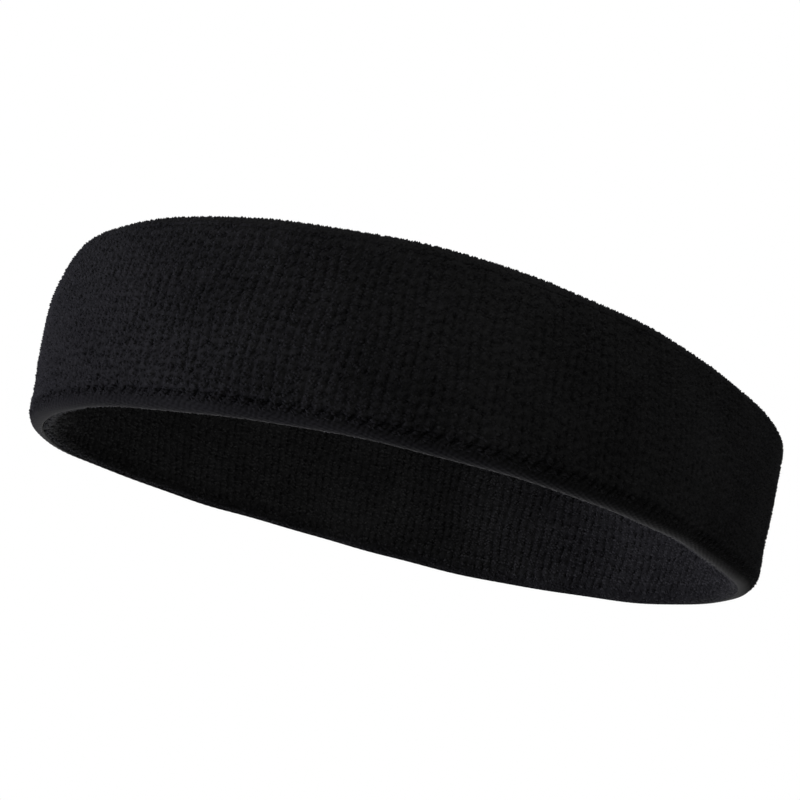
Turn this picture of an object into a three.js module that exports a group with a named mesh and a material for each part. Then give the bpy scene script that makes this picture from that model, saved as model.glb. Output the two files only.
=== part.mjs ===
// Sports headband: a seamless tube of terry knit, folded double and closed along its lower edge.
// Units are millimetres. +Z runs along the band's axis, +X along the long side of its oval.
// The origin is the middle of the oval, level with the face that the lower edge rests on.

import * as THREE from 'three';

// ---- Driving dimensions ----------------------------------------------------------------------

// The oval that the middle of the wall follows: a circle, lengthened, squared off and made egg-shaped.
const MEAN_RADIUS = 92.5;
const OVAL_STRETCH = 15.5;
const OVAL_SQUARENESS = 1;
const EGG_ALONG_X = 2.5;
const EGG_ALONG_Y = 1;

// The wall, seen in cross-section.
const BAND_HEIGHT = 47;
const WALL_THICKNESS = 7.2;
const PLY_THICKNESS = 2.4;
const EDGE_HEIGHT = 4;
const EDGE_ROUNDING = 2.2;
const PIECE_GAP = 0.3;

// How the soft wall stands: it swells at mid height, and its upper edge leans and waves.
const BARREL_SWELL = 2;
const UPPER_EDGE_SHIFT = 2.6;
const UPPER_EDGE_SHIFT_ANGLE = THREE.MathUtils.degToRad(45);
const UPPER_EDGE_TWIST = 1.1;
const UPPER_EDGE_WAVE = 1;

// Elastic yarn laid along the back of each ply.
const ELASTIC_RADIUS = 0.35;
const ELASTIC_TURNS = 4;
const ELASTIC_OFFSET = 0.6;
const ELASTIC_END_MARGIN = 3;

// Closing stitches, in the groove above the lower edge.
const THREAD_RADIUS = 0.35;
const STITCH_GROOVE = 1.3;
const STITCH_COUNT = 160;
const STITCH_OUTER_REACH = 3.1;
const STITCH_MIDDLE_REACH = 0.45;
const THREAD_END_GAP = 0.004;

// Facets.
const RING_SEGMENTS = 72;
const CORNER_SEGMENTS = 3;
const PLY_LEVELS = 5;

// ---- The oval wall ---------------------------------------------------------------------------

// Distance from the oval's pole to the middle of the wall.
function planRadius(angle) {
  const lengthwise = OVAL_STRETCH * Math.cos(2 * angle) + OVAL_SQUARENESS * Math.cos(4 * angle);
  const egg = EGG_ALONG_X * Math.cos(3 * angle) + EGG_ALONG_Y * Math.sin(3 * angle);
  return MEAN_RADIUS + lengthwise + egg;
}

// How fast planRadius changes with the angle.
function planRadiusSlope(angle) {
  const lengthwise = -2 * OVAL_STRETCH * Math.sin(2 * angle) - 4 * OVAL_SQUARENESS * Math.sin(4 * angle);
  const egg = -3 * EGG_ALONG_X * Math.sin(3 * angle) + 3 * EGG_ALONG_Y * Math.cos(3 * angle);
  return lengthwise + egg;
}

// How far the upper edge leans outwards at this angle. The lower edge leans the other way.
function upperEdgeLean(angle) {
  const shift = UPPER_EDGE_SHIFT * Math.cos(angle - UPPER_EDGE_SHIFT_ANGLE);
  const twist = UPPER_EDGE_TWIST * Math.sin(2 * angle);
  return shift - twist;
}

// A point of the wall: an angle round the oval, an offset outwards from the wall's middle, a height.
function wallPoint(angle, offset, height) {
  const radius = planRadius(angle);
  const slope = planRadiusSlope(angle);
  const radial = new THREE.Vector2(Math.cos(angle), Math.sin(angle));
  const around = new THREE.Vector2(-radial.y, radial.x);
  const outward = radial.clone().multiplyScalar(radius).addScaledVector(around, -slope).normalize();

  const rise = height / BAND_HEIGHT;
  const level = 2 * rise - 1;
  const swell = BARREL_SWELL * (1 - level * level);
  const total = offset + swell + upperEdgeLean(angle) * level;
  const wave = UPPER_EDGE_WAVE * Math.sin(2 * angle) * rise;
  return new THREE.Vector3(
    radius * radial.x + total * outward.x,
    radius * radial.y + total * outward.y,
    height + wave,
  );
}

// ---- Solids ----------------------------------------------------------------------------------

// A closed ring: the section, given as (offset, height) points, is turned about the axis by a
// LatheGeometry, and each of its vertices is then laid onto the oval wall.
function ringGeometry(section) {
  const profile = section.map(([offset, height]) => new THREE.Vector2(MEAN_RADIUS + offset, height));
  profile.push(profile[0].clone());
  const geometry = new THREE.LatheGeometry(profile, RING_SEGMENTS);
  const position = geometry.getAttribute('position');
  const vertex = new THREE.Vector3();
  for (let i = 0; i < position.count; i += 1) {
    vertex.fromBufferAttribute(position, i);
    const segment = Math.floor(i / profile.length) % RING_SEGMENTS;
    const angle = (segment / RING_SEGMENTS) * 2 * Math.PI;
    const offset = Math.hypot(vertex.x, vertex.z) - MEAN_RADIUS;
    const placed = wallPoint(angle, offset, vertex.y);
    position.setXYZ(i, placed.x, placed.y, placed.z);
  }
  geometry.deleteAttribute('normal');
  geometry.computeVertexNormals();
  return geometry;
}

// A path given by a function of t, from 0 to 1.
class PathCurve extends THREE.Curve {
  constructor(pointAt) {
    super();
    this.pointAt = pointAt;
  }

  getPoint(t) {
    return this.pointAt(t);
  }

  // Even steps of t, so that the facets line up with those of the plies.
  getPointAt(t) {
    return this.pointAt(t);
  }

  getTangentAt(t) {
    return this.getTangent(t);
  }
}

// A thin three-sided cord along a path, closed at both ends.
function cordGeometry(pointAt, radius, steps) {
  const corners = [0, 1, 2].map((corner) => {
    const turn = (corner / 3) * 2 * Math.PI;
    return new THREE.Vector2(radius * Math.cos(turn), radius * Math.sin(turn));
  });
  return new THREE.ExtrudeGeometry(new THREE.Shape(corners), {
    steps,
    bevelEnabled: false,
    extrudePath: new PathCurve(pointAt),
  });
}

// ---- Cross-sections --------------------------------------------------------------------------

const halfWall = WALL_THICKNESS / 2;
const plyBottom = EDGE_HEIGHT + STITCH_GROOVE;
const plyTop = BAND_HEIGHT - EDGE_HEIGHT - PIECE_GAP;

// A ply is a flat strip between two offsets, with several levels so that it follows the swell.
function plySection(innerOffset, outerOffset) {
  const heights = [];
  for (let level = 0; level < PLY_LEVELS; level += 1) {
    heights.push(plyBottom + ((plyTop - plyBottom) * level) / (PLY_LEVELS - 1));
  }
  const outerSide = heights.map((height) => [outerOffset, height]);
  const innerSide = heights.map((height) => [innerOffset, height]).reverse();
  return [...outerSide, ...innerSide];
}

// A rounded corner from one direction to the next, as a quarter circle.
function roundCorner(centreOffset, centreHeight, startAngle) {
  const points = [];
  for (let step = 0; step <= CORNER_SEGMENTS; step += 1) {
    const angle = startAngle + ((step / CORNER_SEGMENTS) * Math.PI) / 2;
    const offset = centreOffset + EDGE_ROUNDING * Math.cos(angle);
    const height = centreHeight + EDGE_ROUNDING * Math.sin(angle);
    points.push([offset, height]);
  }
  return points;
}

const cornerOffset = halfWall - EDGE_ROUNDING;

// The fold that turns the outer ply into the inner one at the top of the band.
function upperEdgeSection() {
  const floor = BAND_HEIGHT - EDGE_HEIGHT;
  const cornerHeight = BAND_HEIGHT - EDGE_ROUNDING;
  return [
    [halfWall, floor],
    ...roundCorner(cornerOffset, cornerHeight, 0),
    ...roundCorner(-cornerOffset, cornerHeight, Math.PI / 2),
    [-halfWall, floor],
  ];
}

// The rolled hem at the bottom, with a flat strip that the band rests on.
function lowerEdgeSection() {
  return [
    ...roundCorner(-cornerOffset, EDGE_ROUNDING, Math.PI),
    ...roundCorner(cornerOffset, EDGE_ROUNDING, -Math.PI / 2),
    [halfWall, EDGE_HEIGHT],
    [-halfWall, EDGE_HEIGHT],
  ];
}

// ---- Paths -----------------------------------------------------------------------------------

// One elastic yarn: a coil that climbs the wall in even turns.
function elasticPath(offset) {
  const bottom = plyBottom + ELASTIC_END_MARGIN;
  const top = plyTop - ELASTIC_END_MARGIN;
  return (t) => wallPoint(t * ELASTIC_TURNS * 2 * Math.PI, offset, bottom + (top - bottom) * t);
}

// One sewing thread: it runs round the groove and swings between two offsets once per stitch.
function threadPath(nearOffset, farOffset) {
  const middle = (nearOffset + farOffset) / 2;
  const swing = (farOffset - nearOffset) / 2;
  const height = EDGE_HEIGHT + STITCH_GROOVE / 2;
  return (t) => {
    const turn = t * (1 - THREAD_END_GAP);
    const offset = middle + swing * Math.cos(t * STITCH_COUNT * 2 * Math.PI);
    return wallPoint(turn * 2 * Math.PI, offset, height);
  };
}

// ---- Materials and assembly ------------------------------------------------------------------

const terry = { color: 0x17171a, roughness: 0.95, metalness: 0 };
const terryBack = { color: 0x131315, roughness: 0.97, metalness: 0 };
const plainKnit = { color: 0x2a2a2d, roughness: 0.75, metalness: 0 };
const elastic = { color: 0x3a3a3c, roughness: 0.6, metalness: 0 };
const thread = { color: 0x222225, roughness: 0.6, metalness: 0 };

const band = new THREE.Group();

function addPiece(name, geometry, finish) {
  const mesh = new THREE.Mesh(geometry, new THREE.MeshStandardMaterial(finish));
  mesh.name = name;
  band.add(mesh);
}

const elasticSteps = ELASTIC_TURNS * RING_SEGMENTS;
const threadSteps = STITCH_COUNT * 2;
const outerCoil = cordGeometry(elasticPath(ELASTIC_OFFSET), ELASTIC_RADIUS, elasticSteps);
const innerCoil = cordGeometry(elasticPath(-ELASTIC_OFFSET), ELASTIC_RADIUS, elasticSteps);
const needlePath = threadPath(STITCH_MIDDLE_REACH, STITCH_OUTER_REACH);
const looperPath = threadPath(-STITCH_MIDDLE_REACH, -STITCH_OUTER_REACH);

addPiece('outer_terry_layer', ringGeometry(plySection(halfWall - PLY_THICKNESS, halfWall)), terry);
addPiece('inner_terry_layer', ringGeometry(plySection(-halfWall, PLY_THICKNESS - halfWall)), terryBack);
addPiece('upper_folded_edge', ringGeometry(upperEdgeSection()), terry);
addPiece('lower_rolled_hem', ringGeometry(lowerEdgeSection()), plainKnit);
addPiece('outer_elastic_yarn', outerCoil, elastic);
addPiece('inner_elastic_yarn', innerCoil, elastic);
addPiece('closing_needle_thread', cordGeometry(needlePath, THREAD_RADIUS, threadSteps), thread);
addPiece('closing_looper_thread', cordGeometry(looperPath, THREAD_RADIUS, threadSteps), thread);

// The oval's pole is moved off the origin, so that the band's own middle is on it.
const middle = new THREE.Box3().setFromObject(band).getCenter(new THREE.Vector3());
band.position.set(-middle.x, -middle.y, 0);

const headband = new THREE.Group();
headband.add(band);

export default headband;
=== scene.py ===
"""A black terry sports headband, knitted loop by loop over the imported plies.

The smooth wall that the yarns lie on is measured from the CAD solids. Everything else, from the
pile to the closing stitches, is laid out on that wall in millimetres and written in metres.
"""

import math

import bpy
import numpy as np
from mathutils import Matrix, Vector
from mathutils.bvhtree import BVHTree


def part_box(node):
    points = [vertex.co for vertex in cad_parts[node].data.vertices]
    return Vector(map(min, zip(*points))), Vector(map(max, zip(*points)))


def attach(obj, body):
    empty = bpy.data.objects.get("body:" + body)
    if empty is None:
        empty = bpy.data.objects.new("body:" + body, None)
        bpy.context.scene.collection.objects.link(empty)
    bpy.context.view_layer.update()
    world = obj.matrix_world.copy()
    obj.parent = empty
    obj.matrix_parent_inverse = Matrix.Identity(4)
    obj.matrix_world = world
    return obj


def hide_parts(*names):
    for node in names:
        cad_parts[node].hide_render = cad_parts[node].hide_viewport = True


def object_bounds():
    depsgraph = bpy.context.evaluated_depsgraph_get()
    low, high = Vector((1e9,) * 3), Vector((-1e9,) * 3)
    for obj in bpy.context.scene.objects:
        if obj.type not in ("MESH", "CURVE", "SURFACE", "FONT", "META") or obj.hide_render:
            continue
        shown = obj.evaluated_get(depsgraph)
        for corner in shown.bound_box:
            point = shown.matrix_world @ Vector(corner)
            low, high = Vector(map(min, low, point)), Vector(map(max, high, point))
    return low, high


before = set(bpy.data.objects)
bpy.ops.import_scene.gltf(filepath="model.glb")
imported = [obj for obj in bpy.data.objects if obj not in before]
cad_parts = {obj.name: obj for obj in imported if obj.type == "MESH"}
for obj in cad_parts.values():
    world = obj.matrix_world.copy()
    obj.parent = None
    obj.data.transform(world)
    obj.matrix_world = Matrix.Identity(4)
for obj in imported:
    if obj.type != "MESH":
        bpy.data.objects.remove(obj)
cad_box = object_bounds()

MM = 0.001
TURN = 2 * math.pi

# The height of the soft rounding at the lower and the upper edge.
LOWER_RISE = 4.2
UPPER_RISE = 3.3

# How the wall is measured: rays in evenly spread directions, at several heights of a ply, which
# stay clear of its rims. The radius is then smoothed to a few waves round the oval.
MEASURE_ANGLES = 144
MEASURE_HEIGHTS = 7
MARGIN_ABOVE_LOW_RIM = 1.0
MARGIN_BELOW_HIGH_RIM = 5.0
TOP_LEVEL = 0.98
OUTLINE_WAVES = 6
OUTLINE_STEPS = 1440
RAY_REACH = 400.0

# The knit: columns of loops (wales) and rows of loops (courses).
OUTER_WALE_PITCH = 2.3
INNER_WALE_PITCH = 2.7
COURSE_PITCH = 1.4
COURSE_RIDGE = 0.13
WALE_RIDGE = 0.45
INNER_WALE_RIDGE = 0.6
WALE_WANDER = 0.35
COURSE_WANDER = 0.3
GROUND_DEPTH = 0.25
PLY_DEPTH = 2.1

# Rows of points up the front of a ply and of the fold, and down the plain back of either.
GROUND_ROWS = 44
FOLD_GROUND_ROWS = 18
BACK_ROWS = 5

# One loop of the pile: a few short strands, each buried in the ground at both ends.
LOOP_STRANDS = 4
LOOP_WIDTH = 0.75
LOOP_LIFT = 0.25
LOOP_STAGGER = 0.15
FOLD_LIFT_SHARE = 0.4
STRAND_RADIUS = 0.42
STRAND_FLATNESS = 0.7
STRAND_LENGTH = 1.5
STRAND_END_DROP = 0.3
STRAND_SOFTNESS = 0.45

# The lowest loops are smaller: their share of the full size, and the travel over which it grows.
LOWEST_LOOP_SHARE = 0.3
LOOP_GROWTH_REACH = 2

# How light the yarn is, from 0 to 1: the ground, and how that changes with a millimetre of rise (painted
# shade in the furrows), a strand in the middle of its loop, and how much darker one at the side of its
# loop or near a stitch is (painted shade towards the wale furrows and in the stitch dimples).
GROUND_SHADE = 0.72
PAINTED_FURROW_SHADE_RISE = 1.1
STRAND_SHADE = 0.6
PAINTED_SIDE_STRAND_SHADE = 0.5
PAINTED_DIMPLE_SHADE = 1.3

# How much the loops differ. Shifts are shares of a wale or of a course, the tilt is in radians, and
# the ranges are shares of the full size.
WALE_PULL_SPREAD = 0.06
COURSE_PULL_SPREAD = 0.1
LOOP_SHIFT_SPREAD = 0.12
STRAND_SHIFT_SPREAD = 0.06
STRAND_CLIMB_SPREAD = 0.15
STRAND_TILT_SPREAD = 0.5
STRAND_SHADE_SPREAD = 0.2
STRAND_LENGTH_RANGE = (0.7, 1.2)
STRAND_RADIUS_RANGE = (0.75, 1.2)
LOOP_LIFT_RANGE = (0.4, 1.2)

# The hem, the lowest height that the pile reaches over it, and the closing stitches.
HEM_TOP = 3.8
PILE_BOTTOM = 1.6
HEM_INNER_REACH = 0.5
HEM_RIB_PITCH = 1.5
HEM_RIB_DEPTH = 0.16
HEM_ROW_PITCH = 1.1
HEM_DEPTH = 0.1
HEM_DEPTH_UNDER_PILE = 0.45
HEM_COLUMNS = 2400
HEM_ROWS = 22
TUCK_DEPTH = 0.5
TUCK_REACH = 1.5
# Painted shade where the inner terry turns under towards the hem: how much darker, and over what travel.
PAINTED_TURN_UNDER_SHADE = 0.7
PAINTED_TURN_UNDER_REACH = 5.0
STITCH_PITCH = 3.1
STITCH_HEIGHT = 3.6
STITCH_HALF_RISE = 1.1
STITCH_DENT = 1.1
STITCH_DENT_REACH = 1.2
STITCH_SLANT = 0.8
STITCH_SINK = 0.1
STITCH_END_SINK = 0.6
GROOVE_SHARE = 0.1
SEAM_TIGHTNESS = 0.6
SEAM_TIGHTNESS_SWING = 0.4
TIGHT_SEAM_ANGLE = math.radians(200)
THREAD_RADIUS = 0.17

# The elastic cords between the plies. Their covering swells and narrows, by shares of the radius.
CORD_OFFSET = 0.6
CORD_RADIUS = 0.35
CORD_TURNS = 8
CORD_STEPS_PER_TURN = 180
COVER_SHARE = 0.82
COVER_SWELL = 0.12

# Softness of the whole wall: slow unevenness, and places near the two ends of the oval where the
# wall stands fuller or is drawn in. Each place is an angle in degrees, a height and a reach.
SAG_DEPTH = 0.5
FULL_PLACES = (
    (142, 0, 2.3),
    (163, 6, -0.7),
    (157, 32, 0.5),
    (162, 48, -1.1),
    (-38, 4, 1.4),
    (-6, 0, -0.9),
    (18, 0, 0.6),
    (-43, 44, 0.9),
)
FULL_PLACE_WIDTH = 18
FULL_PLACE_HEIGHT = 7

# What the yarns share: slow patches of colour, how deep the grain is, the ends of the range that the
# colour runs over, and the sheen.
PATCH_SCALE = 45
GRAIN_DEPTH = 0.1
DARK_END = 0.25
LIGHT_END = 0.85
SHEEN_ROUGHNESS = 0.45
SHEEN_TINT = (0.8, 0.82, 0.95, 1)

# The camera, in millimetres and degrees.
CAMERA_TARGET = (-16.8, 1.0, 30.6)
CAMERA_AZIMUTH = -42.76
CAMERA_ELEVATION = -13.08
CAMERA_DISTANCE = 419.6
CAMERA_ROLL = 11.09
CAMERA_LENS = 69.3

# The studio: how far away the floor fades out and how far it lies below the band, in metres, the
# key light's azimuth, and the strength of the light from around on the key's side and opposite.
FLOOR_FADE_START = 0.3
FLOOR_FADE_END = 1.6
FLOOR_DROP = 0.0006
FLOOR_COLOUR = (0.93, 0.93, 0.92, 1)
FLOOR_ROUGHNESS = 0.9
KEY_AZIMUTH = -118
FILL_KEY_SIDE = 0.6
FILL_FAR_SIDE = 0.03


# ---- The wall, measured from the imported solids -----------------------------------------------

def tree_of(node):
    """A search tree of one CAD node, in millimetres."""
    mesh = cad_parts[node].data
    corners = [vertex.co / MM for vertex in mesh.vertices]
    return BVHTree.FromPolygons(corners, [polygon.vertices for polygon in mesh.polygons])


def outline_basis(angle, height):
    """Smooth functions of the angle and the height that the wall's radius is made of."""
    waves = [np.ones_like(angle)]
    for order in range(1, OUTLINE_WAVES + 1):
        waves += [np.cos(order * angle), np.sin(order * angle)]
    rise = height / band_height
    return np.stack([wave * rise**power for power in range(3) for wave in waves], -1)


def measured_surface(node, from_outside):
    """The radius of one face of a ply, as a function of angle and height."""
    tree = tree_of(node)
    low, high = (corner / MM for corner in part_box(node))
    lowest, highest = low.z + MARGIN_ABOVE_LOW_RIM, high.z - MARGIN_BELOW_HIGH_RIM
    rows = []
    for step in range(MEASURE_ANGLES):
        angle = (step + 0.5) * TURN / MEASURE_ANGLES
        outward = Vector((math.cos(angle), math.sin(angle), 0))
        for level in range(MEASURE_HEIGHTS):
            height = lowest + (highest - lowest) * level / (MEASURE_HEIGHTS - 1)
            axis_point = Vector((0, 0, height))
            if from_outside:
                hit = tree.ray_cast(axis_point + outward * RAY_REACH, -outward)[0]
            else:
                hit = tree.ray_cast(axis_point, outward)[0]
            rows.append((angle, height, hit.to_2d().length))
    angle, height, radius = np.array(rows).T
    weights = np.linalg.lstsq(outline_basis(angle, height), radius, rcond=None)[0]
    return lambda at_angle, at_height: outline_basis(at_angle, at_height) @ weights


def measured_top():
    """The height of the upper edge, as a function of the angle."""
    tree = tree_of("upper_folded_edge")
    rows = []
    for step in range(MEASURE_ANGLES):
        angle = (step + 0.5) * TURN / MEASURE_ANGLES
        level = np.array([TOP_LEVEL * band_height])
        here = np.array([angle])
        middle = 0.5 * (outer_radius(here, level) + inner_radius(here, level))[0]
        start = Vector((middle * math.cos(angle), middle * math.sin(angle), RAY_REACH))
        hit = tree.ray_cast(start, Vector((0, 0, -1)))[0]
        rows.append((angle, hit.z))
    angle, height = np.array(rows).T
    level = np.zeros_like(angle)
    used = 2 * OUTLINE_WAVES + 1
    weights = np.linalg.lstsq(outline_basis(angle, level)[:, :used], height, rcond=None)[0]
    return lambda at_angle: outline_basis(at_angle, np.zeros_like(at_angle))[..., :used] @ weights


band_height = (cad_box[1][2] - cad_box[0][2]) / MM
outer_radius = measured_surface("outer_terry_layer", True)
inner_radius = measured_surface("inner_terry_layer", False)
top_height = measured_top()

# Angle round the oval for a given share of the way round, measured along the middle of the wall.
outline_angles = np.linspace(0, TURN, OUTLINE_STEPS + 1)
half_heights = np.full_like(outline_angles, band_height / 2)
outer_outline = outer_radius(outline_angles, half_heights)
inner_outline = inner_radius(outline_angles, half_heights)
outline_radius = 0.5 * (outer_outline + inner_outline)
outline = np.stack([outline_radius * np.cos(outline_angles), outline_radius * np.sin(outline_angles)], -1)
outline_steps = np.linalg.norm(np.diff(outline, axis=0), axis=1)
outline_travel = np.concatenate([[0], np.cumsum(outline_steps)])
way_round = outline_travel[-1]
wall_depth = float(np.mean(outer_outline - inner_outline))

# The section, as millimetres travelled from the lowest point up the outer face and over the top.
# Each rounding is a quarter of an ellipse.
lower_arc = math.pi / 2 * math.sqrt(((wall_depth / 2) ** 2 + LOWER_RISE**2) / 2)
upper_arc = math.pi / 2 * math.sqrt(((wall_depth / 2) ** 2 + UPPER_RISE**2) / 2)
mean_height = float(np.mean(top_height(outline_angles)))
side_length = mean_height - LOWER_RISE - UPPER_RISE
section_length = 2 * (lower_arc + side_length + upper_arc)


def section(travel):
    """Where a point of the section is: +1 outer face to -1 inner face, and its share of the height."""
    travel = np.mod(travel, section_length)
    mirrored = travel > section_length / 2
    travel = np.where(mirrored, section_length - travel, travel)
    lower = np.clip(travel / lower_arc, 0, 1) * math.pi / 2
    upper = np.clip((travel - lower_arc - side_length) / upper_arc, 0, 1) * math.pi / 2
    side = np.clip(travel - lower_arc, 0, side_length)
    across = np.sin(lower) * np.cos(upper)
    height = LOWER_RISE * (1 - np.cos(lower)) + side + UPPER_RISE * np.sin(upper)
    return np.where(mirrored, -across, across), height / mean_height


def fullness(angle, height):
    """How far the soft wall stands out, or in, at the places near the ends of the oval."""
    total = 0
    for middle, level, reach in FULL_PLACES:
        away = (np.degrees(angle) - middle + 180) % 360 - 180
        spread = (away / FULL_PLACE_WIDTH) ** 2 + ((height - level) / FULL_PLACE_HEIGHT) ** 2
        total = total + reach * np.exp(-spread)
    return total


def smooth_point(around, travel):
    """A point of the smooth wall, for millimetres round the band and millimetres along the section."""
    angle = np.interp(np.mod(around, way_round), outline_travel, outline_angles)
    across, share = section(travel)
    height = share * top_height(angle)
    outer = outer_radius(angle, height)
    inner = inner_radius(angle, height)
    radius = (outer + inner) / 2 + across * (outer - inner) / 2 + fullness(angle, height)
    return np.stack([radius * np.cos(angle), radius * np.sin(angle), height], -1)


def unit(vectors):
    """Vectors of the same directions and of length one."""
    return vectors / np.linalg.norm(vectors, axis=-1, keepdims=True)


def wall_frame(around, travel):
    """The smooth point and its directions round the band, along the section and out of the cloth."""
    step = 0.2
    along = smooth_point(around + step, travel) - smooth_point(around - step, travel)
    up = smooth_point(around, travel + step) - smooth_point(around, travel - step)
    along, up = unit(along), unit(up)
    return smooth_point(around, travel), along, up, unit(np.cross(along, up))


def travel_at(height):
    """Travel along the outer face up to a height."""
    if height > LOWER_RISE:
        return lower_arc + height - LOWER_RISE
    return lower_arc * 2 / math.pi * math.acos(1 - height / LOWER_RISE)


# Travel at the places where one piece hands over to the next, and at the closing stitches.
HEM_END = travel_at(HEM_TOP)
PILE_START = travel_at(PILE_BOTTOM)
STITCH_TRAVEL = travel_at(STITCH_HEIGHT)
SIDE_END = lower_arc + side_length
FOLD_END = section_length - SIDE_END
INNER_END = section_length - HEM_INNER_REACH


# ---- Relief of the cloth ---------------------------------------------------------------------

stitch_count = round(way_round / STITCH_PITCH)
stitch_spacing = way_round / stitch_count


def sag(around, travel):
    """Slow, shallow unevenness of the whole soft wall."""
    turn = around / way_round * TURN
    climb = travel / section_length * TURN
    swell = np.sin(3 * turn + 0.7) * np.sin(climb + 0.4) + 0.7 * np.sin(7 * turn + 2.1 + climb)
    swell += 0.5 * np.sin(11 * turn - 2 * climb + 0.9) + 0.35 * np.sin(19 * turn + 3 * climb)
    return SAG_DEPTH * 0.4 * swell


def travel_up_face(travel):
    """Travel from the lowest point, counted up whichever face the point is on."""
    travel = np.mod(travel, section_length)
    return np.minimum(travel, section_length - travel)


def stitch_pull(around, travel):
    """How strongly the closing stitches pull the cloth in, from 0 to 1: slanted dimples."""
    up = travel_up_face(travel) - STITCH_TRAVEL
    band = np.exp(-((up / STITCH_DENT_REACH) ** 2))
    phase = np.cos(TURN * (around - STITCH_SLANT * up) / stitch_spacing)
    swing = np.cos(around / way_round * TURN - TIGHT_SEAM_ANGLE)
    tightness = SEAM_TIGHTNESS + SEAM_TIGHTNESS_SWING * swing
    return tightness * band * (GROOVE_SHARE + (1 - GROOVE_SHARE) * np.clip(phase, 0, 1) ** 2)


def wander(around, travel):
    """How far the wales stray sideways on their way up the cloth."""
    turn = around / way_round * TURN
    climb = travel / section_length * TURN
    return WALE_WANDER * (np.sin(9 * turn + 3 * climb) + 0.6 * np.sin(23 * turn - 5 * climb + 1.3))


def course_wander(around):
    """How far the courses stray up and down from one wale to the next."""
    turn = around / way_round * TURN
    return COURSE_WANDER * (np.sin(101 * turn + 2 * np.sin(13 * turn)) + 0.8 * np.sin(29 * turn + 1.7))


def wale_ridge(around, travel, wales):
    """The rounded ridge of each wale and the narrow furrow beside it, deeper in some patches."""
    turn = around / way_round * TURN
    climb = travel / section_length * TURN
    patch = 0.62 + 0.38 * np.sin(41 * turn + 13 * climb + 2 * np.sin(17 * turn - 19 * climb))
    patch = patch * (1 + 0.35 * np.sin(113 * turn + 2 * np.sin(37 * climb)))
    patch = patch * np.clip(np.abs(travel - section_length / 2) / (2 * upper_arc), 0.35, 1)
    patch = patch * np.clip((travel_up_face(travel) - PILE_START) / 2.5, 0.1, 1)
    height = np.where(travel > section_length / 2, INNER_WALE_RIDGE, WALE_RIDGE)
    return height * patch * (np.abs(np.sin(math.pi * around * wales / way_round)) ** 0.8 - 0.8)


def hem_tuck(travel):
    """How far the terry is drawn in where it ends at the hem on the inner face."""
    return TUCK_DEPTH * np.clip(1 - (INNER_END - travel) / TUCK_REACH, 0, 1)


def painted_turn_under_shade(travel):
    """Painted shade: how much darker the inner terry is made where it turns under towards the hem."""
    return PAINTED_TURN_UNDER_SHADE * np.clip(1 - (INNER_END - travel) / PAINTED_TURN_UNDER_REACH, 0, 1)


def relief(around, travel):
    """How far the cloth stands off the smooth wall."""
    return sag(around, travel) - STITCH_DENT * stitch_pull(around, travel)


def cloth_point(around, travel, lift):
    """A point of the cloth, lifted off the smooth wall by its relief and by a further lift."""
    point, _, _, out = wall_frame(around + wander(around, travel), travel)
    return point + (relief(around, travel) + lift)[..., None] * out


# ---- Mesh makers -----------------------------------------------------------------------------

def add_mesh(name, points, faces, material, replaces=None, slot=None, shade=None, normals=None):
    """A smooth-shaded piece from points in millimetres, riding on the one body."""
    mesh = bpy.data.meshes.new(name)
    mesh.from_pydata((points * MM).tolist(), [], faces)
    mesh.polygons.foreach_set("use_smooth", [True] * len(mesh.polygons))
    if shade is not None:
        layer = mesh.attributes.new("shade", "FLOAT", "POINT")
        layer.data.foreach_set("value", shade.astype(np.float32))
    mesh.materials.append(material)
    mesh.update()
    if normals is not None:
        mesh.normals_split_custom_set_from_vertices(normals.tolist())
    piece = bpy.data.objects.new(name, mesh)
    bpy.context.scene.collection.objects.link(piece)
    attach(piece, "root")
    if replaces:
        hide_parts(replaces)
    return piece


def ring_faces(columns, rows):
    """Quads of a grid that closes on itself both round the band and round its own section."""
    column, row = np.meshgrid(np.arange(columns), np.arange(rows), indexing="ij")
    next_column, next_row = (column + 1) % columns, (row + 1) % rows
    corners = [column * rows + row, next_column * rows + row,
               next_column * rows + next_row, column * rows + next_row]
    return np.stack(corners, -1).reshape(-1, 4).tolist()


def add_ply(name, start, end, columns, rows, front, material, **extra):
    """A closed strip of cloth from one travel to another, with a plain back.

    The front function gives how far its face is lifted, and how light its yarn is.
    """
    around = np.arange(columns) * way_round / columns
    front_travel = np.linspace(start, end, rows)
    back_travel = np.linspace(end, start, BACK_ROWS)
    travel = np.concatenate([front_travel, back_travel])
    grid_around, grid_travel = np.meshgrid(around, travel, indexing="ij")
    is_front = np.arange(len(travel)) < rows
    front_lift, shade = front(grid_around, grid_travel)
    lift = np.where(is_front[None, :], front_lift, -PLY_DEPTH)
    points = cloth_point(grid_around, grid_travel, lift)
    # The yarn is painted darker in the stitch dimples, as painted shade.
    shade = np.clip(shade - stitch_pull(grid_around, grid_travel), 0, 1)
    return add_mesh(name, points.reshape(-1, 3), ring_faces(columns, len(travel)), material,
                    shade=shade.ravel(), **extra)


def tube_faces(count, rings, sides):
    """Faces of many separate tubes with closed ends, each of the same number of rings."""
    faces = []
    for ring in range(rings - 1):
        for side in range(sides):
            following = (side + 1) % sides
            low, high = ring * sides, (ring + 1) * sides
            faces.append((low + side, low + following, high + following, high + side))
    starts = np.arange(count)[:, None, None] * rings * sides
    walls = (np.array(faces)[None] + starts).reshape(-1, 4).tolist()
    first = list(range(sides - 1, -1, -1))
    last = [(rings - 1) * sides + side for side in range(sides)]
    caps = (np.array([first, last])[None] + starts).reshape(-1, sides).tolist()
    return walls + caps


def round_tubes(paths, sideways, upright, radius, sides):
    """Points of tubes along paths. Paths and directions are [tube, ring, xyz], radius [tube, ring]."""
    rims = []
    for side in range(sides):
        turn = TURN * (side / sides + 0.25)
        spoke = math.cos(turn) * sideways + math.sin(turn) * upright
        rims.append(paths + radius[..., None] * spoke)
    return np.stack(rims, axis=2).reshape(-1, 3)


# ---- Materials -------------------------------------------------------------------------------

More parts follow.
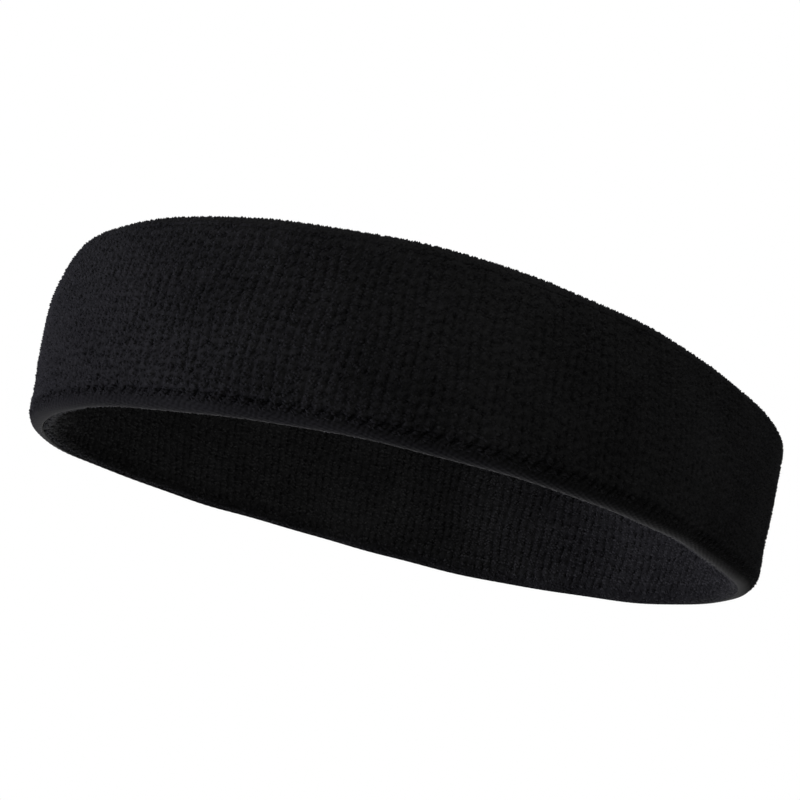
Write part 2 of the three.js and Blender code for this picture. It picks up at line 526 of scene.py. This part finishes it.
def new_material(name):
    """A material with its nodes, its links and its surface shader."""
    material = bpy.data.materials.new(name)
    material.use_nodes = True
    nodes, links = material.node_tree.nodes, material.node_tree.links
    return material, nodes, links, nodes["Principled BSDF"]


def yarn_material(name, dark, light, roughness, sheen, gloss, grain_scale, grain_bump, use_shade=True):
    """Spun yarn: colour that varies from loop to loop and along the fibres, a fuzzy sheen, fine grain.

    With use_shade, the mesh says how light each loop is. Dark and light are linear colours.
    """
    material, nodes, links, surface = new_material(name)
    place = nodes.new("ShaderNodeTexCoord")
    fibres = nodes.new("ShaderNodeTexNoise")
    fibres.inputs["Scale"].default_value = grain_scale
    fibres.inputs["Detail"].default_value = 3
    links.new(place.outputs["Object"], fibres.inputs["Vector"])
    patches = nodes.new("ShaderNodeTexNoise")
    patches.inputs["Scale"].default_value = PATCH_SCALE
    patches.inputs["Detail"].default_value = 2
    links.new(place.outputs["Object"], patches.inputs["Vector"])

    blend = nodes.new("ShaderNodeMath")
    blend.operation = "MULTIPLY_ADD"
    links.new(fibres.outputs["Fac"], blend.inputs[0])
    blend.inputs[1].default_value = 0.5
    if use_shade:
        loop_shade = nodes.new("ShaderNodeAttribute")
        loop_shade.attribute_name = "shade"
        half = nodes.new("ShaderNodeMath")
        half.operation = "MULTIPLY_ADD"
        half.inputs[1].default_value = 0.5
        links.new(loop_shade.outputs["Fac"], half.inputs[0])
        slow = nodes.new("ShaderNodeMath")
        slow.operation = "MULTIPLY_ADD"
        slow.inputs[1].default_value = 0.5
        slow.inputs[2].default_value = -0.25
        links.new(patches.outputs["Fac"], slow.inputs[0])
        links.new(slow.outputs[0], half.inputs[2])
        links.new(half.outputs[0], blend.inputs[2])
    else:
        links.new(patches.outputs["Fac"], blend.inputs[2])
    ramp = nodes.new("ShaderNodeValToRGB")
    ramp.color_ramp.elements[0].position = DARK_END
    ramp.color_ramp.elements[0].color = (*dark, 1)
    ramp.color_ramp.elements[1].position = LIGHT_END
    ramp.color_ramp.elements[1].color = (*light, 1)
    links.new(blend.outputs[0], ramp.inputs["Fac"])
    links.new(ramp.outputs["Color"], surface.inputs["Base Color"])

    bump = nodes.new("ShaderNodeBump")
    bump.inputs["Strength"].default_value = grain_bump
    bump.inputs["Distance"].default_value = GRAIN_DEPTH * MM
    links.new(fibres.outputs["Fac"], bump.inputs["Height"])
    links.new(bump.outputs["Normal"], surface.inputs["Normal"])
    surface.inputs["Roughness"].default_value = roughness
    surface.inputs["Sheen Weight"].default_value = sheen
    surface.inputs["Sheen Roughness"].default_value = SHEEN_ROUGHNESS
    surface.inputs["Sheen Tint"].default_value = SHEEN_TINT
    surface.inputs["Specular IOR Level"].default_value = gloss
    return material


terry_outer = yarn_material(
    "terry_outer", dark=(0.003, 0.003, 0.0031), light=(0.0165, 0.0165, 0.017),
    roughness=0.95, sheen=0.03, gloss=0.08, grain_scale=2600, grain_bump=0.5)
# The inner terry is the same yarn as the outer, painted nearly twice as light: painted light that lifts the
# shaded inside face.
terry_inner = yarn_material(
    "terry_inner", dark=(0.006, 0.006, 0.0061), light=(0.029, 0.029, 0.0295),
    roughness=0.95, sheen=0.03, gloss=0.08, grain_scale=2600, grain_bump=0.5)
terry_ground = yarn_material(
    "terry_ground", dark=(0.0015, 0.0015, 0.0016), light=(0.0165, 0.0165, 0.017),
    roughness=0.98, sheen=0.0, gloss=0.04, grain_scale=1800, grain_bump=0.8)
plain_knit = yarn_material(
    "plain_knit", dark=(0.0015, 0.0015, 0.0016), light=(0.0115, 0.0115, 0.0118),
    roughness=0.9, sheen=0.0, gloss=0.05, grain_scale=2200, grain_bump=0.5)
sewing_thread = yarn_material(
    "sewing_thread", dark=(0.001, 0.001, 0.0012), light=(0.003, 0.003, 0.0034),
    roughness=0.7, sheen=0.0, gloss=0.08, grain_scale=4200, grain_bump=0.5, use_shade=False)
elastic_cover = yarn_material(
    "elastic_cover", dark=(0.02, 0.02, 0.022), light=(0.045, 0.045, 0.047),
    roughness=0.6, sheen=0.05, gloss=0.2, grain_scale=3600, grain_bump=0.5, use_shade=False)


# ---- The knit --------------------------------------------------------------------------------

STRAND_CORNERS = 5


def strand_faces(count):
    """Faces of many separate strands: a buried end, three corners round the middle, a buried end."""
    one_strand = [(2, 1, 0), (3, 2, 0), (1, 3, 0), (1, 2, 4), (2, 3, 4), (3, 1, 4)]
    starts = np.arange(count)[:, None, None] * STRAND_CORNERS
    return (np.array(one_strand)[None] + starts).reshape(-1, 3).tolist()


def add_pile(name, start, end, wale_pitch, material, slot, seed, lift_share=1.0):
    """Loops in wales and courses between two travels of the section, with a few strands a loop.

    Every strand varies a little. Those near the stitches, the hem and the pile's start lie lower.
    """
    random = np.random.default_rng(seed)
    wales = round(way_round / wale_pitch)
    courses = round((end - start) / COURSE_PITCH)
    wale, course, strand = (index.ravel() for index in np.meshgrid(
        np.arange(wales), np.arange(courses), np.arange(LOOP_STRANDS), indexing="ij"))
    count = wale.size
    wale_width = way_round / wales
    course_height = (end - start) / courses
    wale_pull = random.normal(0, WALE_PULL_SPREAD, wales)[wale]
    course_pull = random.normal(0, COURSE_PULL_SPREAD, courses)[course]
    loop_shift = random.normal(0, LOOP_SHIFT_SPREAD, (courses, wales))[course, wale]

    off_middle = (strand - (LOOP_STRANDS - 1) / 2) / LOOP_STRANDS
    sideways_place = wale + 0.5 + LOOP_WIDTH * off_middle + random.normal(0, STRAND_SHIFT_SPREAD, count)
    around = (sideways_place + loop_shift) * wale_width
    stagger = LOOP_STAGGER * np.where(strand % 2, 1, -1)
    upward_place = course + 0.5 + stagger + random.normal(0, STRAND_CLIMB_SPREAD, count)
    travel = start + upward_place * course_height + course_wander(around)
    tilt = random.normal(0, STRAND_TILT_SPREAD, count)
    length = STRAND_LENGTH * random.uniform(*STRAND_LENGTH_RANGE, count)
    taper = np.clip((travel - PILE_START) / LOOP_GROWTH_REACH, LOWEST_LOOP_SHARE, 1)
    radius = STRAND_RADIUS * random.uniform(*STRAND_RADIUS_RANGE, count) * np.sqrt(taper)
    pull = stitch_pull(around, travel)
    stand = random.uniform(*LOOP_LIFT_RANGE, count) + wale_pull + course_pull
    lift = LOOP_LIFT * lift_share * stand * (1 - pull) * taper
    # Strands at the sides of a loop are painted darker: painted shade towards the wale furrows.
    shade = STRAND_SHADE - PAINTED_SIDE_STRAND_SHADE * np.abs(off_middle)
    shade = shade + random.normal(0, STRAND_SHADE_SPREAD, count)
    shade = shade + wale_pull + course_pull
    # Painted shade in the stitch dimples and where the inner terry turns under towards the hem.
    shade = np.clip(shade - PAINTED_DIMPLE_SHADE * pull - painted_turn_under_shade(travel), 0, 1)

    point, along, up, out = wall_frame(around + wander(around, travel), travel)
    rise = relief(around, travel) + wale_ridge(around, travel, wales) - GROUND_DEPTH - hem_tuck(travel)
    base = point + rise[:, None] * out
    direction = np.cos(tilt)[:, None] * along + np.sin(tilt)[:, None] * up
    sideways = np.cross(out, direction)
    half = (length / 2)[:, None] * direction
    buried = base - STRAND_END_DROP * out
    crest = base + lift[:, None] * out
    corners = []
    for turn in (TURN / 4, TURN * 7 / 12, TURN * 11 / 12):
        spoke = math.cos(turn) * sideways + STRAND_FLATNESS * math.sin(turn) * out
        corners.append(crest + radius[:, None] * spoke)
    points = np.stack([buried - half, *corners, buried + half], 1)
    round_normals = unit(points - crest[:, None])
    soft_normals = unit(round_normals * (1 - STRAND_SOFTNESS) + out[:, None] * STRAND_SOFTNESS)
    return add_mesh(name, points.reshape(-1, 3), strand_faces(count), material, slot=slot,
                    shade=np.repeat(shade, STRAND_CORNERS), normals=soft_normals.reshape(-1, 3))


def add_ground(name, start, end, wale_pitch, rows, **extra):
    """The back knit seen between the loops: a ridge per wale and a shallow row per course."""
    wales = round(way_round / wale_pitch)
    course_height = (end - start) / round((end - start) / COURSE_PITCH)

    def front(around, travel):
        row = COURSE_RIDGE * np.cos(TURN * (travel - start - course_wander(around)) / course_height + math.pi)
        rise = wale_ridge(around, travel, wales) + row - hem_tuck(travel)
        # The ground's yarn is painted darker the lower it lies, as painted shade in the furrows and between
        # courses.
        return rise - GROUND_DEPTH, GROUND_SHADE + PAINTED_FURROW_SHADE_RISE * rise - painted_turn_under_shade(travel)

    return add_ply(name, start, end, 4 * wales, rows, front, terry_ground, **extra)


def hem_front(around, travel):
    """Slanted ribs of the plain-knit hem and its fine rows, its yarn painted darker in the grooves as painted
    shade. The ribs are shallow at its lowest line.
    """
    up = travel_up_face(travel)
    strayed = around + 0.4 * np.sin(around / 3.7) + 0.35 * np.sin(around / 1.3 + 1.5 * up)
    rib = np.abs(np.sin(math.pi * (strayed - STITCH_SLANT * up) / HEM_RIB_PITCH))
    row = np.cos(TURN * (travel / HEM_ROW_PITCH + around / (2 * HEM_RIB_PITCH)))
    under_pile = np.clip(up - PILE_START + 0.5, 0, 1)
    depth = HEM_DEPTH + (HEM_DEPTH_UNDER_PILE - HEM_DEPTH) * under_pile
    share = np.clip((up - 0.8) / 2.5, 0.15, 1)
    # The yarn is lighter on the ribs and rows and darker between them, as painted shade.
    return share * HEM_RIB_DEPTH * (rib - 0.6) + 0.05 * row - depth, 0.55 + 0.5 * (rib - 0.6) + 0.15 * row


def add_hem():
    """The rolled hem: a closed ring under both plies."""
    return add_ply("lower_hem", -HEM_INNER_REACH, HEM_END, HEM_COLUMNS, HEM_ROWS, hem_front, plain_knit,
                   replaces="lower_rolled_hem", slot="plain_knit")


# ---- Stitches and cords ----------------------------------------------------------------------

def add_stitches(name, node, inside):
    """Slanted stitches that close the tube, sunk in their dimples just above the hem."""
    rings, sides = 9, 5
    progress = np.linspace(-1, 1, rings)
    rise = STITCH_HALF_RISE * progress
    climb = np.broadcast_to(STITCH_TRAVEL + rise, (stitch_count, rings))
    around = np.arange(stitch_count)[:, None] * stitch_spacing + STITCH_SLANT * rise
    travel = section_length - climb if inside else climb
    point, _, _, out = wall_frame(around, travel)
    arch = -STITCH_SINK - STITCH_END_SINK * progress[None, :] ** 4
    path = point + (relief(around, travel) + arch)[..., None] * out
    direction = unit(np.gradient(path, axis=1))
    sideways = unit(np.cross(out, direction))
    radius = np.full(around.shape, THREAD_RADIUS)
    points = round_tubes(path, sideways, out, radius, sides)
    return add_mesh(name, points, tube_faces(stitch_count, rings, sides), sewing_thread,
                    replaces=node, slot="sewing_thread")


def add_cord(name, node, offset):
    """A covered elastic yarn, coiled up the space between the plies."""
    low, high = (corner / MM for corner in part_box(node))
    sides = 6
    rings = CORD_TURNS * CORD_STEPS_PER_TURN
    share = np.linspace(0, 1, rings)
    around = share * CORD_TURNS * way_round
    angle = np.interp(np.mod(around, way_round), outline_travel, outline_angles)
    height = low.z + CORD_RADIUS + (high.z - low.z - 2 * CORD_RADIUS) * share
    radius = (outer_radius(angle, height) + inner_radius(angle, height)) / 2 + offset
    path = np.stack([radius * np.cos(angle), radius * np.sin(angle), height], -1)
    direction = unit(np.gradient(path, axis=0))
    out = unit(np.stack([np.cos(angle), np.sin(angle), 0 * angle], -1))
    sideways = unit(np.cross(out, direction))
    out = np.cross(direction, sideways)
    cover = CORD_RADIUS * (COVER_SHARE + COVER_SWELL * np.cos(math.pi * np.arange(rings)))
    points = round_tubes(path[None], sideways[None], out[None], cover[None], sides)
    return add_mesh(name, points, tube_faces(1, rings, sides), elastic_cover,
                    replaces=node, slot="elastic_yarn")


def build_band():
    """Every piece of the band, from the hem up the outer face, over the fold and down the inner face."""
    add_ground("outer_ply_ground", HEM_END, SIDE_END, OUTER_WALE_PITCH, GROUND_ROWS,
               replaces="outer_terry_layer", slot="terry_outer")
    add_ground("upper_fold_ground", SIDE_END, FOLD_END, OUTER_WALE_PITCH, FOLD_GROUND_ROWS,
               replaces="upper_folded_edge", slot="terry_outer")
    add_ground("inner_ply_ground", FOLD_END, INNER_END, INNER_WALE_PITCH, GROUND_ROWS,
               replaces="inner_terry_layer", slot="terry_inner")
    add_hem()
    add_pile("outer_ply_pile", PILE_START, SIDE_END, OUTER_WALE_PITCH, terry_outer,
             slot="terry_outer", seed=11)
    add_pile("upper_fold_pile", SIDE_END, FOLD_END, OUTER_WALE_PITCH, terry_outer,
             slot="terry_outer", seed=12, lift_share=FOLD_LIFT_SHARE)
    add_pile("inner_ply_pile", FOLD_END, INNER_END, INNER_WALE_PITCH, terry_inner,
             slot="terry_inner", seed=13)
    add_stitches("closing_needle_stitches", "closing_needle_thread", False)
    add_stitches("closing_looper_stitches", "closing_looper_thread", True)
    add_cord("outer_elastic_cord", "outer_elastic_yarn", CORD_OFFSET)
    add_cord("inner_elastic_cord", "inner_elastic_yarn", -CORD_OFFSET)


# ---- Studio ----------------------------------------------------------------------------------

def add_floor():
    """A pale floor that fades into the white behind it, is seen from above only, and casts no shadow."""
    material, nodes, links, surface = new_material("studio_floor")
    surface.inputs["Base Color"].default_value = FLOOR_COLOUR
    surface.inputs["Roughness"].default_value = FLOOR_ROUGHNESS
    geometry = nodes.new("ShaderNodeNewGeometry")
    rays = nodes.new("ShaderNodeLightPath")
    reach = nodes.new("ShaderNodeVectorMath")
    reach.operation = "LENGTH"
    links.new(geometry.outputs["Position"], reach.inputs[0])
    fade = nodes.new("ShaderNodeMapRange")
    fade.interpolation_type = "SMOOTHSTEP"
    fade.inputs["From Min"].default_value = FLOOR_FADE_START
    fade.inputs["From Max"].default_value = FLOOR_FADE_END
    links.new(reach.outputs["Value"], fade.inputs["Value"])
    clear_share = fade.outputs["Result"]
    for other in (geometry.outputs["Backfacing"], rays.outputs["Is Shadow Ray"]):
        larger = nodes.new("ShaderNodeMath")
        larger.operation = "MAXIMUM"
        links.new(clear_share, larger.inputs[0])
        links.new(other, larger.inputs[1])
        clear_share = larger.outputs[0]
    clear = nodes.new("ShaderNodeBsdfTransparent")
    mix = nodes.new("ShaderNodeMixShader")
    links.new(clear_share, mix.inputs["Fac"])
    links.new(surface.outputs[0], mix.inputs[1])
    links.new(clear.outputs[0], mix.inputs[2])
    links.new(mix.outputs[0], nodes["Material Output"].inputs["Surface"])
    half, level = FLOOR_FADE_END, -FLOOR_DROP
    corners = [(-half, -half, level), (half, -half, level), (half, half, level), (-half, half, level)]
    mesh = bpy.data.meshes.new("studio_floor")
    mesh.from_pydata(corners, [], [(0, 1, 2, 3)])
    mesh.materials.append(material)
    floor = bpy.data.objects.new("studio_floor", mesh)
    bpy.context.scene.collection.objects.link(floor)


def direction_of(azimuth, elevation):
    """The direction from the band towards a light or the camera, from degrees."""
    a, e = math.radians(azimuth), math.radians(elevation)
    return Vector((math.sin(a) * math.cos(e), -math.cos(a) * math.cos(e), math.sin(e)))


def add_area_light(name, azimuth, elevation, distance, size, power, colour=(1.0, 1.0, 1.0)):
    """A square soft light that faces the band. Angles are in degrees, lengths in metres, power in watts."""
    light = bpy.data.lights.new(name, "AREA")
    light.size = size
    light.energy = power
    light.color = colour
    lamp = bpy.data.objects.new(name, light)
    middle = Vector((0, 0, band_height / 2 * MM))
    back = direction_of(azimuth, elevation)
    lamp.location = middle + back * distance
    lamp.rotation_euler = back.to_track_quat("Z", "Y").to_euler()
    lamp.visible_camera = False
    bpy.context.scene.collection.objects.link(lamp)


def add_world():
    """White behind the band, and a gentler light on it that is stronger on the key light's side."""
    world = bpy.data.worlds.new("studio")
    world.use_nodes = True
    nodes, links = world.node_tree.nodes, world.node_tree.links
    backdrop = nodes["Background"]
    backdrop.inputs["Color"].default_value = (1, 1, 1, 1)
    place = nodes.new("ShaderNodeTexCoord")
    towards_key = nodes.new("ShaderNodeVectorMath")
    towards_key.operation = "DOT_PRODUCT"
    links.new(place.outputs["Generated"], towards_key.inputs[0])
    towards_key.inputs[1].default_value = direction_of(KEY_AZIMUTH, 0)
    fill = nodes.new("ShaderNodeMapRange")
    fill.inputs["From Min"].default_value = -1
    fill.inputs["From Max"].default_value = 1
    fill.inputs["To Min"].default_value = FILL_FAR_SIDE
    fill.inputs["To Max"].default_value = FILL_KEY_SIDE
    links.new(towards_key.outputs["Value"], fill.inputs["Value"])
    rays = nodes.new("ShaderNodeLightPath")
    strength = nodes.new("ShaderNodeMix")
    links.new(rays.outputs["Is Camera Ray"], strength.inputs[0])
    links.new(fill.outputs["Result"], strength.inputs[2])
    strength.inputs[3].default_value = 1.0
    links.new(strength.outputs[0], backdrop.inputs["Strength"])
    bpy.context.scene.world = world


def add_camera():
    """The camera: below the band and to its left, and rolled."""
    data = bpy.data.cameras.new("camera")
    data.lens = CAMERA_LENS
    data.clip_start = 0.01
    camera = bpy.data.objects.new("camera", data)
    back = direction_of(CAMERA_AZIMUTH, CAMERA_ELEVATION)
    turn = back.to_track_quat("Z", "Y").to_matrix().to_4x4()
    place = Matrix.Translation((Vector(CAMERA_TARGET) + back * CAMERA_DISTANCE) * MM)
    camera.matrix_world = place @ turn @ Matrix.Rotation(math.radians(CAMERA_ROLL), 4, "Z")
    bpy.context.scene.collection.objects.link(camera)
    bpy.context.scene.camera = camera


build_band()
add_floor()
add_world()
add_area_light("left_key", KEY_AZIMUTH, -28, distance=1.1, size=0.8, power=17, colour=(0.82, 0.8, 1.0))
add_area_light("hem_rim", 141, -30, distance=1.0, size=0.9, power=15)
add_area_light("top_soft", -12, 70, distance=1.4, size=1.2, power=7.5)
add_camera()
bpy.context.scene.view_settings.view_transform = "Standard"
